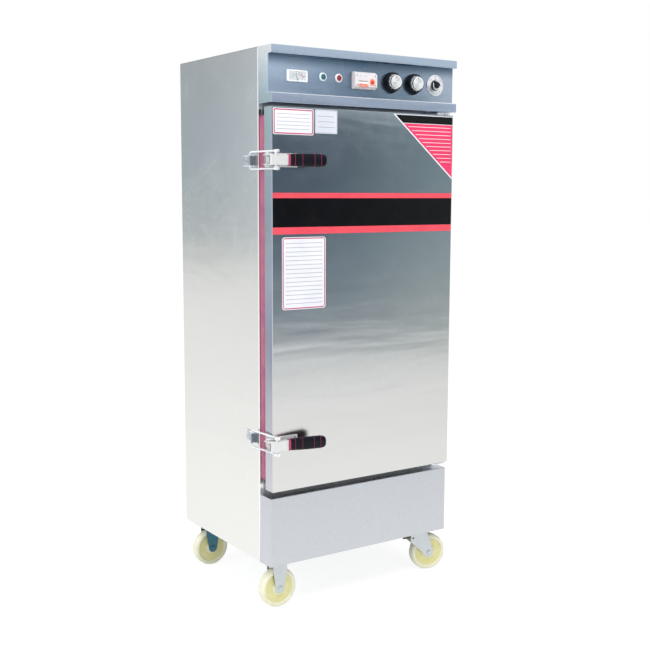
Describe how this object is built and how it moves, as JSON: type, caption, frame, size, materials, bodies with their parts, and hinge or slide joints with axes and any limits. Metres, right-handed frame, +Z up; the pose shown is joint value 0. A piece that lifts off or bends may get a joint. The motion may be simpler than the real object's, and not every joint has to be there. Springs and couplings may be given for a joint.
{
  "type": "rice steamer cabinet",
  "caption": "Tall insulated steel steaming cabinet on casters with a hinged door held by side latches, tray racks over a heated water tank and a control housing above the door.",
  "frame": {"origin": "on the floor, in the middle of the object's outline", "axes": "+Z is up, -Y faces out of the door and +X is the hinge side of the door"},
  "size_m": [0.7562, 0.7313, 1.735],
  "materials": {
    "stainless": "satin rolled sheet",
    "zinc": "bright zinc plate",
    "bright_trim": "polished",
    "sheath": "heat-tinted",
    "brass": "machined",
    "red_paint": "gloss",
    "olive_paint": "semi-gloss",
    "foam": "rigid foam",
    "silicone": "semi-matt",
    "nylon": "moulded",
    "white_plastic": "moulded",
    "black_plastic": "moulded",
    "orange_plastic": "moulded",
    "green_lens": "clear tinted",
    "red_lens": "clear tinted"
  },
  "bodies": {
    "cabinet": {"left_side_panel": "stainless", "right_side_panel": "stainless", "back_panel": "stainless", "top_panel": "stainless", "base_pan": "stainless", "door_frame": "stainless", "wall_insulation": "foam", "chamber_liner": "stainless", "left_tray_rack": "stainless", "right_tray_rack": "stainless", "upper_tray": "stainless", "middle_tray": "stainless", "lower_tray": "stainless", "water_tank": "stainless", "heating_element": "sheath", "lower_front_panel": "stainless", "control_housing": "stainless", "thermometer": "white_plastic", "green_lamp": "green_lens", "red_lamp": "red_lens", "breaker_case": "white_plastic", "selector_plate": "bright_trim", "upper_hinge_bracket": "zinc", "lower_hinge_bracket": "zinc", "upper_latch_catch": "zinc", "lower_latch_catch": "zinc", "front_left_fork": "zinc", "rear_left_fork": "zinc", "front_right_top_plate": "zinc", "rear_right_top_plate": "zinc", "drain_valve": "brass", "water_inlet": "brass", "vent_pipe": "stainless", "cable_gland": "black_plastic"},
    "door": {"door_skin": "stainless", "door_insulation": "foam", "door_liner": "stainless", "door_gasket": "silicone", "upper_latch_base": "zinc", "lower_latch_base": "zinc"},
    "upper_lever": {"upper_latch_lever": "stainless", "upper_latch_grip": "black_plastic"},
    "upper_bail": {"upper_latch_bail": "zinc"},
    "lower_lever": {"lower_latch_lever": "stainless", "lower_latch_grip": "black_plastic"},
    "lower_bail": {"lower_latch_bail": "zinc"},
    "timer": {"timer_knob": "black_plastic"},
    "thermostat": {"thermostat_knob": "black_plastic"},
    "selector": {"selector_knob": "black_plastic"},
    "toggle": {"breaker_toggle": "orange_plastic"},
    "button": {"test_button": "orange_plastic"},
    "drain": {"drain_lever": "red_paint"},
    "front_left_roller": {"front_left_wheel": "nylon"},
    "rear_left_roller": {"rear_left_wheel": "nylon"},
    "front_right_swivel": {"front_right_fork": "zinc"},
    "front_right_roller": {"front_right_wheel": "nylon"},
    "front_right_pedal": {"front_right_brake": "olive_paint"},
    "rear_right_swivel": {"rear_right_fork": "zinc"},
    "rear_right_roller": {"rear_right_wheel": "nylon"},
    "rear_right_pedal": {"rear_right_brake": "olive_paint"}
  },
  "joints": [
    {"name": "door_hinge", "type": "hinge", "parent": "cabinet", "child": "door", "pos_m": [0.3396, -0.2823, 0.973], "axis": [0, 0, 1], "range_deg": [0, 115]},
    {"name": "upper_lever_pivot", "type": "hinge", "parent": "door", "child": "upper_lever", "pos_m": [-0.3654, -0.3123, 1.4], "axis": [0, 0, -1], "range_deg": [0, 115]},
    {"name": "upper_bail_pivot", "type": "hinge", "parent": "upper_lever", "child": "upper_bail", "pos_m": [-0.3494, -0.3343, 1.4], "axis": [0, 0, 1], "range_deg": [0, 133]},
    {"name": "lower_lever_pivot", "type": "hinge", "parent": "door", "child": "lower_lever", "pos_m": [-0.3654, -0.3123, 0.543], "axis": [0, 0, -1], "range_deg": [0, 115]},
    {"name": "lower_bail_pivot", "type": "hinge", "parent": "lower_lever", "child": "lower_bail", "pos_m": [-0.3494, -0.3343, 0.543], "axis": [0, 0, 1], "range_deg": [0, 133]},
    {"name": "timer_turn", "type": "hinge", "parent": "cabinet", "child": "timer", "pos_m": [0.1106, -0.2818, 1.653], "axis": [0, 1, 0], "range_deg": [0, 300]},
    {"name": "thermostat_turn", "type": "hinge", "parent": "cabinet", "child": "thermostat", "pos_m": [0.1986, -0.2818, 1.653], "axis": [0, 1, 0], "range_deg": [0, 290]},
    {"name": "selector_turn", "type": "hinge", "parent": "cabinet", "child": "selector", "pos_m": [0.2886, -0.2851, 1.653], "axis": [0, 1, 0], "range_deg": [-135, 0]},
    {"name": "toggle_rock", "type": "hinge", "parent": "cabinet", "child": "toggle", "pos_m": [-0.0139, -0.2961, 1.641], "axis": [-1, 0, 0], "range_deg": [0, 56]},
    {"name": "test_button_press", "type": "slide", "parent": "cabinet", "child": "button", "axis": [0, 1, 0], "range_m": [0, 0.0015], "stiffness_N_per_m": 400},
    {"name": "drain_lever_turn", "type": "hinge", "parent": "cabinet", "child": "drain", "pos_m": [-0.1154, 0.3287, 0.2858], "axis": [0, 0, -1], "range_deg": [0, 90]},
    {"name": "front_left_roll", "type": "hinge", "parent": "cabinet", "child": "front_left_roller", "pos_m": [-0.2974, -0.247, 0.0625], "axis": [0, 1, 0], "continuous": true},
    {"name": "rear_left_roll", "type": "hinge", "parent": "cabinet", "child": "rear_left_roller", "pos_m": [-0.2974, 0.209, 0.0625], "axis": [0, 1, 0], "continuous": true},
    {"name": "front_right_swivel_turn", "type": "hinge", "parent": "cabinet", "child": "front_right_swivel", "pos_m": [0.2776, -0.2363, 0.135], "axis": [0, 0, 1], "continuous": true},
    {"name": "front_right_roll", "type": "hinge", "parent": "front_right_swivel", "child": "front_right_roller", "pos_m": [0.31447, -0.24549, 0.0625], "axis": [0.2419, 0.9703, 0], "continuous": true},
    {"name": "front_right_brake_press", "type": "hinge", "parent": "front_right_swivel", "child": "front_right_pedal", "pos_m": [0.25528, -0.23074, 0.12], "axis": [-0.2419, -0.9703, 0], "range_deg": [0, 10]},
    {"name": "rear_right_swivel_turn", "type": "hinge", "parent": "cabinet", "child": "rear_right_swivel", "pos_m": [0.2776, 0.209, 0.135], "axis": [0, 0, 1], "continuous": true},
    {"name": "rear_right_roll", "type": "hinge", "parent": "rear_right_swivel", "child": "rear_right_roller", "pos_m": [0.31513, 0.21494, 0.0625], "axis": [-0.1564, 0.9877, 0], "continuous": true},
    {"name": "rear_right_brake_press", "type": "hinge", "parent": "rear_right_swivel", "child": "rear_right_pedal", "pos_m": [0.25488, 0.2054, 0.12], "axis": [0.1564, -0.9877, 0], "range_deg": [0, 10]}
  ],
  "couplings": [
    {"joint": "upper_bail_pivot", "follows": "upper_lever_pivot", "ratio": 1.15},
    {"joint": "lower_bail_pivot", "follows": "lower_lever_pivot", "ratio": 1.15}
  ]
}
